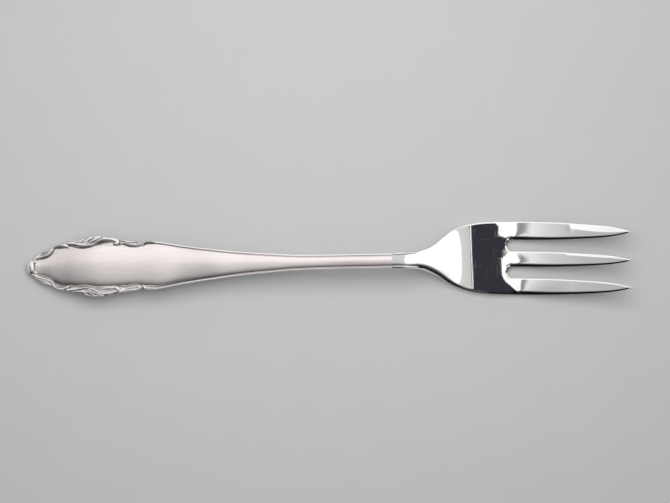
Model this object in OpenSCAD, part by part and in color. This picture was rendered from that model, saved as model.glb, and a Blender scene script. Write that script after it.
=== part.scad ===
/* [Overall] */
// Length from the end of the handle to the tips
fork_length = 155; // [145:1:170]
// Height of the underside of the stem above the table
arch_h = 6.5; // [4:0.1:10]
// Height of the underside of the tips above the table
tip_rise = 6.6; // [4:0.1:10]

/* [Handle] */
// Length of the handle, from its end to the joint at the neck
handle_length = 93.6; // [85:0.2:100]
// Width of the handle at its leaves
handle_w = 15.6; // [12:0.1:20]
// Width of the stem where it is narrowest
stem_w = 3.85; // [3.6:0.05:5]
// Thickness of the handle at its leaves
handle_t = 4; // [3.4:0.1:5.5]
// Thickness of the handle at its end
end_t = 2.5; // [2.4:0.1:3]
// Thickness at the joint between handle and head
neck_t = 3; // [2.8:0.05:4]
// Height of the dome of the panel at the leaves
panel_crown = 0.75; // [0.4:0.05:1]
// Height of the dome of the stem
stem_crown = 0.42; // [0.3:0.02:0.6]
// Width of the pressed border at the leaves
border_w = 2.2; // [1.4:0.1:3]
// Width of the rim bead along the stem
bead_w = 0.35; // [0.25:0.01:0.45]
// Width of the groove inside the border
groove_w = 0.5; // [0.35:0.01:0.6]
// Depth of the groove inside the border
groove_d = 0.25; // [0.15:0.01:0.3]
// Wall of the two handle shells
shell_wall = 0.4; // [0.3:0.01:0.45]

/* [Head] */
// Width across the three tines at their roots
head_w = 18.7; // [17:0.1:22]
// Length of the tines from the slot roots to the tips
tine_length = 31.8; // [26:0.2:36]
// Width of the cutting tine at its root
cutting_tine_w = 4.6; // [4:0.05:5.2]
// Width of the middle tine at its root
middle_tine_w = 3.9; // [3.4:0.05:4.4]
// Width of the side tine at its root
side_tine_w = 4.15; // [3.6:0.05:4.6]
// Sideways lean of the tines from root to tip
tine_lean = 0.9; // [0:0.05:1.5]
// Thickness of the blade at the heel
blade_t = 1.9; // [1.5:0.05:2.4]
// Thickness of the tines at their tips
tip_t = 0.9; // [0.6:0.05:1.2]
// Width of the tines at their tips
tip_w = 0.25; // [0.2:0.05:0.6]

/* [Inside the handle] */
// Length of the tang inside the handle
tang_length = 42; // [30:0.5:55]
// Thinnest cement between tang and shells
filler_wall = 0.2; // [0.12:0.01:0.25]
// Gap between the cement and the shells
filler_gap = 0.02; // [0.01:0.01:0.05]
// Gap between the tang and the cement
tang_gap = 0.06; // [0.05:0.01:0.1]

/* [Hidden] */

head_length = fork_length - handle_length;
shoulder_length = head_length - tine_length;
stem_half = stem_w / 2;
slot_w = (head_w - cutting_tine_w - middle_tine_w - side_tine_w) / 2;
slot_r = slot_w / 2;

// Outline of the handle: share of its length, and share of the way from stem to full width
handle_outline_shares = [
    [0, -0.083], [0.004, -0.026], [0.0096, 0.048], [0.0178, 0.131], [0.0288, 0.233], [0.04, 0.34],
    [0.051, 0.423], [0.066, 0.488], [0.081, 0.625], [0.092, 0.675], [0.106, 0.697], [0.117, 0.767],
    [0.144, 0.837], [0.158, 0.908], [0.177, 0.978], [0.196, 1], [0.221, 0.952], [0.243, 0.893],
    [0.252, 0.837], [0.262, 0.828], [0.281, 0.793], [0.3, 0.745], [0.311, 0.693], [0.317, 0.606],
    [0.324, 0.693], [0.336, 0.741], [0.363, 0.71], [0.391, 0.636], [0.418, 0.553], [0.446, 0.484],
    [0.473, 0.42], [0.514, 0.34], [0.556, 0.255], [0.61, 0.17], [0.665, 0.102], [0.748, 0.022],
    [0.857, 0], [1, 0]
];
// Width of the pressed border: share of the way from the rim bead to the full border
border_shares = [
    [0, 0], [0.018, 0.2], [0.03, 0.5], [0.05, 0.75], [0.075, 0.45], [0.095, 0.45], [0.144, 0.9],
    [0.2, 1], [0.225, 0.6], [0.28, 0.55], [0.311, 0.4], [0.324, 0], [1, 0]
];
// Share of the handle's length at which it is thickest
thickest_share = 0.2;
// Thickness from the end to the thickest place, and from there to the joint
swell_shares = [[0, 0], [0.03, 0.1], [0.09, 0.5], [thickest_share, 1]];
thinning_handle_shares = [[thickest_share, 1], [0.47, 0.8], [0.75, 0.25], [1, 0]];
// Height of the underside of the handle, as a share of the arch
handle_rise_shares = [
    [0, 0], [0.026, 0.004], [0.073, 0.034], [0.139, 0.128], [0.216, 0.245], [0.292, 0.353], [0.36, 0.448],
    [0.407, 0.492], [0.455, 0.52], [0.515, 0.558], [0.575, 0.628], [0.65, 0.735], [0.72, 0.825], [0.79, 0.892],
    [0.86, 0.932], [0.93, 0.966], [1, 1]
];
// Edges of the shoulders from the joint to the slot roots, as shares of the way from stem to full width:
// first on the side of the cutting tine, then on the other side
shoulder_shares = [
    [0, 0, 0], [0.157, 0.03, 0.03], [0.217, 0.055, 0.055], [0.278, 0.11, 0.11], [0.33, 0.18, 0.19],
    [0.374, 0.278, 0.27], [0.417, 0.412, 0.36], [0.461, 0.546, 0.467], [0.504, 0.68, 0.567],
    [0.548, 0.78, 0.663], [0.591, 0.852, 0.735], [0.635, 0.9, 0.8], [0.678, 0.935, 0.85],
    [0.765, 0.985, 0.92], [0.852, 1, 0.965], [1, 1, 1]
];
// Height of the underside of the shoulders as a share of the arch, down to the flat of the heel
heel_drop_shares = [
    [0, 1], [0.113, 0.93], [0.217, 0.82], [0.33, 0.615], [0.461, 0.31], [0.548, 0.125], [0.6, 0.055],
    [0.678, 0.012], [0.748, 0], [1, 0]
];
// Height of the underside past the heel, as a share of the rise of the tips
root_rise_share = 0.03;
root_rise_shares = [[0, 0], [0.852, 0], [0.939, 0.01], [1, root_rise_share]];
tine_rise_shares = [[0, root_rise_share], [0.089, 0.075], [0.266, 0.19], [0.492, 0.37], [0.75, 0.655], [1, 1]];
// Thickness of the shoulders: share of the way from the neck to the blade
thinning_shares = [[0, 0], [0.217, 0.25], [0.33, 0.62], [0.461, 0.95], [0.6, 1], [1, 1]];
// Half width of a tine: share of the way from its tip to its root
taper_shares = [
    [0, 1], [0.185, 1], [0.347, 0.974], [0.508, 0.884], [0.669, 0.753], [0.75, 0.663], [0.83, 0.537],
    [0.911, 0.316], [1, 0]
];
// Height of the side wall, as a share of the rim
side_share = 0.6;
// Points of the bead or border in a section: shares of its width inwards, and of the rim upwards
bead_shares = [[0, 0], [0, side_share], [0.25, 0.92], [0.7, 1]];
// Depth of the panel's edge below the rim, as a share of the groove's depth
panel_edge_share = 0.2;
// Height of a dome half way out from its middle, as a share of its crown
half_way_share = 0.75;
// Lean of the inner side wall, in walls
inner_lean_share = 1.2;
// Width of the tang at its end, as a share of its width at the joint
tang_end_share = 0.7;

// Longest step between two stations of the handle, as a share of its length
handle_step_share = 0.03;
shoulder_rows = 24;
tine_rows = 12;
tang_rows = 6;
ring_points = 9;
tine_columns = 3;
slot_columns = 4;

// Slope of a table of shares at point i, level where the table turns
function secant(table, i, c) = (table[i + 1][c] - table[i][c]) / (table[i + 1][0] - table[i][0]);
function table_slope(table, i, c) =
    let (last = len(table) - 1)
    i == 0 ? secant(table, 0, c)
    : i == last ? secant(table, last - 1, c)
    : let (before = secant(table, i - 1, c), after = secant(table, i, c))
      before * after <= 0 ? 0 : 2 * before * after / (before + after);
function stretch(table, x, i = 0) =
    i >= len(table) - 2 || x < table[i + 1][0] ? i : stretch(table, x, i + 1);
// Smooth curve through the points of a table, without overshoot
function curve(table, x, c = 1) =
    let (
        i = stretch(table, x),
        h = table[i + 1][0] - table[i][0],
        u = min(1, max(0, (x - table[i][0]) / h)),
        a = table[i][c],
        b = table[i + 1][c],
        da = table_slope(table, i, c) * h,
        db = table_slope(table, i + 1, c) * h
    )
    a + da * u + (3 * (b - a) - 2 * da - db) * u * u + (2 * (a - b) + da + db) * u * u * u;
function mix(a, b, share) = a + (b - a) * share;

// Shape of the handle at a station q, a share of the handle's length
function flare(q) = curve(handle_outline_shares, q);
function handle_half_w(q) = mix(stem_w, handle_w, flare(q)) / 2;
function handle_half_t(q) =
    q < thickest_share
    ? mix(end_t, handle_t, curve(swell_shares, q)) / 2
    : mix(neck_t, handle_t, curve(thinning_handle_shares, q)) / 2;
function seam_z(q) = arch_h * curve(handle_rise_shares, q) + handle_half_t(q);
function border(q) = mix(bead_w, border_w, curve(border_shares, q));
function crown(q) = mix(stem_crown, panel_crown, flare(q));
function rim(q) = handle_half_t(q) - crown(q);
function panel_half(q) = handle_half_w(q) - border(q) - groove_w;

// Half of a section, from the edge towards the middle: distance from the middle, height above the seam
function outer_half(q) =
    let (w = handle_half_w(q), b = border(q), r = rim(q), p = panel_half(q))
    concat(
        [for (share = bead_shares) [w - b * share[0], r * share[1]]],
        [
            [w - b - groove_w / 2, r - groove_d],
            [p, r - groove_d * panel_edge_share],
            [p / 2, r + crown(q) * half_way_share]
        ]
    );
function inner_half(q, wall) =
    let (w = handle_half_w(q), r = rim(q) - groove_d - wall)
    [
        [w - wall, 0],
        [w - wall * inner_lean_share, r * side_share],
        [w - border(q) - groove_w / 2, r],
        [panel_half(q) / 2, rim(q) + crown(q) * half_way_share - wall]
    ];
// The whole section from one edge over the top to the other
function across(half, top) = concat(
    [for (p = half) [-p[0], p[1]]],
    [[0, top]],
    [for (i = [len(half) - 1:-1:0]) half[i]]
);
function outer_section(q) = across(outer_half(q), handle_half_t(q));
function inner_section(q, wall) = across(inner_half(q, wall), handle_half_t(q) - wall);
function oval_section(a, b) = [
    for (i = [0:ring_points - 1])
        let (angle = 180 * i / (ring_points - 1)) [-a * cos(angle), b * sin(angle)]
];
// A closed ring: a section and its mirror image below the middle height z
function ring(section, z) = concat(
    [for (p = section) [p[0], z + p[1]]],
    [for (i = [len(section) - 2:-1:1]) [section[i][0], z - section[i][1]]]
);

// Stations along the handle: each point of the outline, and steps in its long stretches
handle_stations = concat(
    [
        for (i = [0:len(handle_outline_shares) - 2])
            let (
                a = handle_outline_shares[i][0],
                b = handle_outline_shares[i + 1][0],
                n = ceil((b - a) / handle_step_share)
            )
            for (k = [0:n - 1]) mix(a, b, k / n)
    ],
    [1]
);
// The inside starts one wall in from the end, and keeps to the stations of the outside past end_run_share
end_run_share = 0.1;
inside_stations = [
    for (q = handle_stations) q + shell_wall / handle_length * max(0, 1 - q / end_run_share)
];
function handle_point(q, y, z) = [q * handle_length - fork_length / 2, y, z];

// Faces of an open grid, and of a tube of closed rings, of points that start at index first
function grid_faces(first, rows, columns) = [
    for (r = [0:rows - 2], c = [0:columns - 2])
        let (a = first + r * columns + c)
        each [[a, a + 1, a + columns + 1], [a, a + columns + 1, a + columns]]
];
function tube_faces(first, rows, columns) = [
    for (r = [0:rows - 2], c = [0:columns - 1])
        let (a = first + r * columns, d = (c + 1) % columns)
        each [[a + c, a + d, a + columns + d], [a + c, a + columns + d, a + columns + c]]
];
// Faces that close a symmetric section of points that start at index first
function cap_faces(first, columns) = [
    for (c = [0:(columns - 3) / 2])
        let (a = first + c, b = first + columns - 1 - c)
        each a + 2 == b ? [[a, a + 1, b]] : flat_face(a, a + 1, b - 1, b)
];
function turned(faces) = [for (f = faces) [for (i = [len(f) - 1:-1:0]) f[i]]];
function flat_face(a, b, c, d) = [[a, b, c], [a, c, d]];

// Inner point that each outer point of a half section faces at the mouth, the middle one last
mouth_facing = [for (i = [0:len(outer_half(0))]) floor((i + 1) / 2)];
function across_mirrored(half, last) = concat(half, [for (i = [len(half) - 2:-1:0]) last - half[i]]);

// Half of the hollow handle: side is 1 for the front and -1 for the back
module handle_shell(side) {
    rows = len(handle_stations);
    outer_columns = len(outer_section(0));
    inner_columns = len(inner_section(0, shell_wall));
    outer_points = [
        for (q = handle_stations, p = outer_section(q)) handle_point(q, p[0], seam_z(q) + side * p[1])
    ];
    inner_points = [
        for (q = inside_stations, p = inner_section(q, shell_wall))
            handle_point(q, p[0], seam_z(q) + side * p[1])
    ];
    inside = rows * outer_columns;
    outer_last = outer_columns - 1;
    inner_last = inner_columns - 1;
    mouth = (rows - 1) * outer_columns;
    facing = across_mirrored(mouth_facing, inner_last);
    inner_mouth = inside + (rows - 1) * inner_columns;
    faces = concat(
        grid_faces(0, rows, outer_columns),
        turned(grid_faces(inside, rows, inner_columns)),
        [
            for (r = [0:rows - 2])
                let (a = r * outer_columns, b = inside + r * inner_columns)
                each flat_face(a, a + outer_columns, b + inner_columns, b)
        ],
        [
            for (r = [0:rows - 2])
                let (a = r * outer_columns + outer_last, b = inside + r * inner_columns + inner_last)
                each flat_face(a, b, b + inner_columns, a + outer_columns)
        ],
        turned(cap_faces(0, outer_columns)),
        cap_faces(inside, inner_columns),
        flat_face(0, inside, inside + inner_last, outer_last),
        [
            for (c = [0:outer_last - 1])
                let (a = inner_mouth + facing[c], b = inner_mouth + facing[c + 1])
                each a == b
                ? [[mouth + c, mouth + c + 1, a]]
                : flat_face(mouth + c, mouth + c + 1, b, a)
        ]
    );
    polyhedron(concat(outer_points, inner_points), side > 0 ? faces : turned(faces));
}

module handle_front_shell() color("#d8d4d3") handle_shell(1);
module handle_back_shell() color("#bdb9b8") handle_shell(-1);

// Half width and half thickness of the tang at the joint
tang_half_w = stem_half - bead_w - groove_w / 2 - filler_wall - tang_gap;
tang_half_t = neck_t / 2 - shell_wall - filler_gap - filler_wall - tang_gap;
tang_stations = [for (k = [0:tang_rows]) 1 - tang_length / handle_length * (1 - k / tang_rows)];
function tang_share(q) = mix(1, tang_end_share, (1 - q) * handle_length / tang_length);

// Cement between the shells, with the socket of the tang in it
module handle_filler() {
    rows = len(inside_stations);
    columns = 2 * (ring_points - 1);
    first_q = (shell_wall + filler_gap) / handle_length;
    socket_q = [for (q = tang_stations) q == tang_stations[0] ? q - tang_gap / handle_length : q];
    outer_points = [
        for (s = inside_stations)
            let (q = max(s, first_q))
            for (p = ring(inner_section(q, shell_wall + filler_gap), seam_z(q))) handle_point(q, p[0], p[1])
    ];
    socket_points = [
        for (q = socket_q)
            let (a = tang_half_w * tang_share(q) + tang_gap, b = tang_half_t * tang_share(q) + tang_gap)
            for (p = ring(oval_section(a, b), seam_z(q))) handle_point(q, p[0], p[1])
    ];
    socket = rows * columns;
    mouth = (rows - 1) * columns;
    socket_mouth = socket + tang_rows * columns;
    faces = concat(
        tube_faces(0, rows, columns),
        turned(tube_faces(socket, tang_rows + 1, columns)),
        [[for (c = [columns - 1:-1:0]) c]],
        [[for (c = [0:columns - 1]) socket + c]],
        [
            for (c = [0:columns - 1])
                let (d = (c + 1) % columns)
                each flat_face(mouth + c, mouth + d, socket_mouth + d, socket_mouth + c)
        ]
    );
    color("#b9a98c") polyhedron(concat(outer_points, socket_points), faces);
}

// Shape of the head at s, the distance from the joint
function past_root(s) = (s - shoulder_length) / tine_length;
function underside_z(s) =
    s < shoulder_length
    ? arch_h * curve(heel_drop_shares, s / shoulder_length)
      + tip_rise * curve(root_rise_shares, s / shoulder_length)
    : tip_rise * curve(tine_rise_shares, past_root(s));
function head_t(s) =
    s < shoulder_length
    ? mix(neck_t, blade_t, curve(thinning_shares, s / shoulder_length))
    : mix(blade_t, tip_t, past_root(s));
function head_crown(s) = stem_crown * (1 - curve(thinning_shares, min(1, s / shoulder_length)));

// The tines from the side tine to the cutting tine: middle line and half width at the root
tine_half_widths = [side_tine_w / 2, middle_tine_w / 2, cutting_tine_w / 2];
tine_middles = [
    tine_half_widths[0] - head_w / 2,
    side_tine_w + slot_w + tine_half_widths[1] - head_w / 2,
    head_w / 2 - tine_half_widths[2]
];
slot_middles = [side_tine_w + slot_r - head_w / 2, head_w / 2 - cutting_tine_w - slot_r];

// Columns across the head: those of a tine are spread evenly, those of a slot lie on its round root.
// Each is [place at the root, distance that the row of the roots lies past the root, tine or -1]
function tine_column(k, i) =
    [tine_middles[k] + tine_half_widths[k] * (2 * i / tine_columns - 1), slot_r, k];
function slot_column(k, i) =
    let (angle = 180 * i / slot_columns - 90)
    [slot_middles[k] + slot_r * sin(angle), slot_r * (1 - cos(angle)), -1];
head_columns = concat(
    [for (i = [0:tine_columns]) tine_column(0, i)],
    [for (i = [1:slot_columns - 1]) slot_column(0, i)],
    [for (i = [0:tine_columns]) tine_column(1, i)],
    [for (i = [1:slot_columns - 1]) slot_column(1, i)],
    [for (i = [0:tine_columns]) tine_column(2, i)]
);
column_count = len(head_columns);
// Angle at which the tang's side walls start, so that they keep a little height
tang_wall_angle = 12;

function tine_half_w(k, u) = mix(tip_w / 2, tine_half_widths[k], curve(taper_shares, u));
function column_y(column, s) =
    let (
        v = s / shoulder_length,
        share = column[0] / head_w + 1 / 2,
        low = -mix(stem_w, head_w, curve(shoulder_shares, v, 2)) / 2,
        high = mix(stem_w, head_w, curve(shoulder_shares, v, 1)) / 2,
        k = column[2],
        u = past_root(s)
    )
    s <= shoulder_length || k < 0
    ? mix(low, high, share)
    : tine_middles[k] - tine_lean * u
      + (column[0] - tine_middles[k]) * tine_half_w(k, u) / tine_half_widths[k];
function head_point(column, s, top) =
    let (
        y = column_y(column, s),
        across_share = 2 * column[0] / head_w,
        fall = head_crown(s) * across_share * across_share,
        z = underside_z(s)
    )
    [handle_length - fork_length / 2 + s, y, top ? z + head_t(s) - fall : z + fall];
function tang_point(q, j, top) =
    let (
        angle = mix(tang_wall_angle, 180 - tang_wall_angle, j / (column_count - 1)),
        a = tang_half_w * tang_share(q),
        b = tang_half_t * tang_share(q) * sin(angle)
    )
    handle_point(q, -a * cos(angle), seam_z(q) + (top ? b : -b));
function head_row(r, j, top) =
    let (column = head_columns[j], body = r - tang_rows - 1, tine = body - shoulder_rows)
    r <= tang_rows
    ? tang_point(tang_stations[r], j, top)
    : tine < 0
    ? head_point(column, shoulder_length * body / shoulder_rows, top)
    : let (start = shoulder_length + column[1])
      head_point(column, column[2] < 0 ? start : mix(start, head_length, tine / tine_rows), top);

// Three tines, blade, shoulders, neck and tang in one piece
module head() {
    rows = tang_rows + shoulder_rows + tine_rows + 2;
    root_row = tang_rows + 1 + shoulder_rows;
    half = rows * column_count;
    points = [for (top = [true, false], r = [0:rows - 1], j = [0:column_count - 1]) head_row(r, j, top)];
    function solid(r, j) =
        r >= 0 && r < rows - 1 && j >= 0 && j < column_count - 1
        && (r < root_row || (head_columns[j][2] >= 0 && head_columns[j][2] == head_columns[j + 1][2]));
    function wall(a, b) = flat_face(a, b, half + b, half + a);
    faces = [
        for (r = [0:rows - 2], j = [0:column_count - 2])
            if (solid(r, j))
                let (a = r * column_count + j, b = a + 1, c = b + column_count, d = a + column_count)
                each concat(
                    flat_face(a, b, c, d),
                    flat_face(half + d, half + c, half + b, half + a),
                    solid(r, j - 1) ? [] : wall(a, d),
                    solid(r, j + 1) ? [] : wall(c, b),
                    solid(r - 1, j) ? [] : wall(b, a),
                    solid(r + 1, j) ? [] : wall(d, c)
                )
    ];
    color("#c9cbd0") polyhedron(points, faces);
}

head();
handle_front_shell();
handle_back_shell();
handle_filler();
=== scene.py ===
"""Pastry fork: a satin hollow handle with a pressed scroll and leaf border, and a mirror-polished head."""
import math

import bpy
import numpy as np
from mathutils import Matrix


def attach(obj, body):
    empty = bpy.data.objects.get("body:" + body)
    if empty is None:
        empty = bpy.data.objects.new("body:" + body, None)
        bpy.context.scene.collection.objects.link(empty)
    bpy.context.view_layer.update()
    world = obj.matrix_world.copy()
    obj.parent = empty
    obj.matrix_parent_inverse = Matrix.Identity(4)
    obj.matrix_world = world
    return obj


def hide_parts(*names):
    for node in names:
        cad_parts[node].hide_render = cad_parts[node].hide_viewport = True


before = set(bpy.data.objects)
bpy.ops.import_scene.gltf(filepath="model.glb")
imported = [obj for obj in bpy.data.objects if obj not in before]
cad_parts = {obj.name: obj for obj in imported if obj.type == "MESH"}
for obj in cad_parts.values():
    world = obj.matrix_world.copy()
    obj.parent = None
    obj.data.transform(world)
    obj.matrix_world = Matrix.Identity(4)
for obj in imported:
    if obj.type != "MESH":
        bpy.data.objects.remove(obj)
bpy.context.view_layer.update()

MM = 0.001

# Sizes of the fork in millimetres, as the solids have them
FORK_LENGTH = 155
ARCH_H = 6.5
HANDLE_LENGTH = 93.6
HANDLE_W = 15.6
STEM_W = 3.85
HANDLE_T = 4
END_T = 2.5
NECK_T = 3
PANEL_CROWN = 0.75
STEM_CROWN = 0.42
BORDER_W = 2.2
BEAD_W = 0.35
GROOVE_W = 0.5
GROOVE_D = 0.25
SHELL_WALL = 0.4
HEAD_W = 18.7
TINE_LENGTH = 31.8
TINE_WIDTHS = [4.15, 3.9, 4.6]
TINE_LEAN = 0.9
BLADE_T = 1.9
TIP_T = 0.9
TIP_W = 0.25
TANG_LENGTH = 42
FILLER_WALL = 0.2
FILLER_GAP = 0.02
TANG_GAP = 0.06

HEAD_LENGTH = FORK_LENGTH - HANDLE_LENGTH
SHOULDER_LENGTH = HEAD_LENGTH - TINE_LENGTH
SLOT_W = (HEAD_W - sum(TINE_WIDTHS)) / 2
SLOT_R = SLOT_W / 2

# Outline of the handle: share of its length, and share of the way from stem to full width
handle_outline_shares = [
    [0, -0.083], [0.004, -0.026], [0.0096, 0.048], [0.0178, 0.131], [0.0288, 0.233], [0.04, 0.34],
    [0.051, 0.423], [0.066, 0.488], [0.081, 0.625], [0.092, 0.675], [0.106, 0.697], [0.117, 0.767],
    [0.144, 0.837], [0.158, 0.908], [0.177, 0.978], [0.196, 1], [0.221, 0.952], [0.243, 0.893],
    [0.252, 0.837], [0.262, 0.828], [0.281, 0.793], [0.3, 0.745], [0.311, 0.693], [0.317, 0.606],
    [0.324, 0.693], [0.336, 0.741], [0.363, 0.71], [0.391, 0.636], [0.418, 0.553], [0.446, 0.484],
    [0.473, 0.42], [0.514, 0.34], [0.556, 0.255], [0.61, 0.17], [0.665, 0.102], [0.748, 0.022],
    [0.857, 0], [1, 0],
]
# Width of the pressed border: share of the way from the rim bead to the full border
border_shares = [
    [0, 0], [0.018, 0.2], [0.03, 0.5], [0.05, 0.75], [0.075, 0.45], [0.095, 0.45], [0.144, 0.9],
    [0.2, 1], [0.225, 0.6], [0.28, 0.55], [0.311, 0.4], [0.324, 0], [1, 0],
]
# Thickness of the handle: share of the way from its thin places to its thickest, and for the thin places
# share of the way from the end's thickness to the neck's
thickness_shares = [
    [0, 0, 0], [0.03, 0.1, 0], [0.09, 0.5, 0], [0.2, 1, 0], [0.47, 0.8, 1], [0.75, 0.25, 1], [1, 0, 1],
]
# Height of the underside of the handle, as a share of the arch
handle_rise_shares = [
    [0, 0], [0.026, 0.004], [0.073, 0.034], [0.139, 0.128], [0.216, 0.245], [0.292, 0.353],
    [0.36, 0.448], [0.407, 0.492], [0.455, 0.52], [0.515, 0.558], [0.575, 0.628], [0.65, 0.735],
    [0.72, 0.825], [0.79, 0.892], [0.86, 0.932], [0.93, 0.966], [1, 1],
]
# Edges of the shoulders, as shares of the way from stem to full width: cutting side, other side
shoulder_shares = [
    [0, 0, 0], [0.157, 0.03, 0.03], [0.217, 0.055, 0.055], [0.278, 0.11, 0.11], [0.33, 0.18, 0.19],
    [0.374, 0.278, 0.27], [0.417, 0.412, 0.36], [0.461, 0.546, 0.467], [0.504, 0.68, 0.567],
    [0.548, 0.78, 0.663], [0.591, 0.852, 0.735], [0.635, 0.9, 0.8], [0.678, 0.935, 0.85],
    [0.765, 0.985, 0.92], [0.852, 1, 0.965], [1, 1, 1],
]
# Half width of the domed panel: share of the way from the stem's panel to the widest
panel_shares = [
    [0, 0], [0.025, 0.1], [0.05, 0.34], [0.075, 0.68], [0.095, 0.84], [0.134, 0.89], [0.171, 0.93],
    [0.21, 1], [0.25, 0.97], [0.29, 0.93], [0.33, 0.98], [0.363, 1.02], [0.391, 0.93], [0.418, 0.807],
    [0.446, 0.707], [0.473, 0.613], [0.514, 0.496], [0.556, 0.372], [0.61, 0.248], [0.665, 0.149],
    [0.748, 0.032], [0.857, 0], [1, 0],
]
# Slope of the top of the head in degrees, at millimetres from the joint
head_slopes = [
    [0, -4], [3.3, -12], [6.4, -24], [9.8, -32], [13.6, -31], [16.2, -20], [18.05, -11.1], [20.3, -2.5],
    [20.77, -1.5], [24, 0.5], [27.6, 2.2], [32.1, 6.6], [33.4, 7.45], [45.2, 10.3], [61.4, 12.5],
]
# Thickness of the head: share of the way from the neck to the blade
thinning_shares = [[0, 0], [0.217, 0.25], [0.33, 0.62], [0.461, 0.95], [0.6, 1], [1, 1]]
# Half width of a tine: share of the way from its tip to its root
taper_shares = [
    [0, 1], [0.185, 1], [0.347, 0.974], [0.508, 0.884], [0.669, 0.753], [0.75, 0.663], [0.83, 0.537],
    [0.911, 0.316], [1, 0],
]


def curve(table, x, column=1):
    """Smooth curve through the points of a table, without overshoot."""
    points = np.array(table, float)
    xs, ys = points[:, 0], points[:, column]
    steps = np.diff(xs)
    secants = np.diff(ys) / steps
    before, after = secants[:-1], secants[1:]
    level = before * after <= 0
    inner = np.where(level, 0, 2 * before * after / np.where(level, 1, before + after))
    slopes = np.concatenate([secants[:1], inner, secants[-1:]])
    i = np.clip(np.searchsorted(xs, x, side="right") - 1, 0, len(steps) - 1)
    h = steps[i]
    u = np.clip((x - xs[i]) / h, 0, 1)
    a, b, da, db = ys[i], ys[i + 1], slopes[i] * h, slopes[i + 1] * h
    return a + da * u + (3 * (b - a) - 2 * da - db) * u**2 + (2 * (a - b) + da + db) * u**3


def mix(a, b, share):
    """Value at a share of the way from a to b."""
    return a + (b - a) * share


def smooth(low, high, x):
    """Goes from 0 at low to 1 at high without a corner."""
    u = np.clip((x - low) / (high - low), 0, 1)
    return u * u * (3 - 2 * u)


def bump(u, power=2):
    """1 in the middle, 0 from u = 1 outwards, without a corner where the power is 2."""
    return np.clip(1 - u * u, 0, 1) ** power


def tangent(slopes, x):
    """Slope at x from a table of slopes in degrees."""
    return np.tan(np.radians(curve(slopes, x)))


def rise_along(slopes, length, count):
    """Evenly spread places along a length, and the height that the slopes up to there add up to."""
    places = np.linspace(0, length, count)
    slope = tangent(slopes, places)
    return places, np.concatenate([[0], np.cumsum((slope[1:] + slope[:-1]) / 2 * np.diff(places))])


# The dome of the panel grows over this length from the handle's end, from this share of its height
DOME_START = 6.5
DOME_START_SHARE = 0.45
# Share of the dome's height that falls away close to its edge
EDGE_FALL = 0.2
# Long waves that polishing left in the handle: change of its slope in degrees, at millimetres from its end
polish_waves = [
    [0, 0], [2, -1.2], [5, 0.6], [9.5, 1.8], [13, -1.2], [17, -2.6], [20, -2.2], [28, -1.9], [34, -1.0],
    [38, -2.1], [42, -4.0], [46, -4.2], [50, -2.9], [54, -0.9], [58, -0.3], [64, -0.9], [70, -0.7],
    [74, -0.2], [78, -1.1], [81.5, -2.2], [85, -1.8], [88.5, -1.5], [92, -0.4], [93.6, 0],
]
# Points at which the slopes of the waves are added up
WAVE_POINTS = 1000


# Shape of the handle at q, a share of its length
def handle_half_w(q):
    """Half the width of the handle."""
    return mix(STEM_W, HANDLE_W, curve(handle_outline_shares, q)) / 2


def handle_half_t(q):
    """Half the thickness of the handle."""
    thin = mix(END_T, NECK_T, curve(thickness_shares, q, 2))
    return mix(thin, HANDLE_T, curve(thickness_shares, q)) / 2


def wave(q):
    """Height of the polishing waves, which end at 0 where the handle meets the head."""
    places, z = rise_along(polish_waves, HANDLE_LENGTH, WAVE_POINTS)
    z -= z[-1] * places / HANDLE_LENGTH
    return np.interp(q * HANDLE_LENGTH, places, z)


def seam_z(q):
    """Height of the seam between the two shells."""
    return ARCH_H * curve(handle_rise_shares, q) + handle_half_t(q) + wave(q)


def border(q):
    """Width of the border, or of the rim bead where there is no border."""
    return mix(BEAD_W, BORDER_W, curve(border_shares, q))


# Half width of the panel on the stem, and where it is widest
STEM_PANEL = 1.45
WIDE_PANEL = HANDLE_W / 2 - BORDER_W - GROOVE_W


def panel_half(q):
    """Half the width of the domed panel."""
    return mix(STEM_PANEL, WIDE_PANEL, curve(panel_shares, q))


def crown(q):
    """Height of the dome in the middle of the panel."""
    return mix(STEM_CROWN, PANEL_CROWN, curve(panel_shares, q))


def dome(q, y):
    """Height of the panel above its edge: flat in the middle, falling faster towards the edge."""
    u = np.clip(np.abs(y) / panel_half(q), 0, 1)
    from_end = mix(DOME_START_SHARE, 1, smooth(0, DOME_START, q * HANDLE_LENGTH))
    return crown(q) * from_end * (1 - (1 - EDGE_FALL) * u**2 - EDGE_FALL * u**8)


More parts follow.
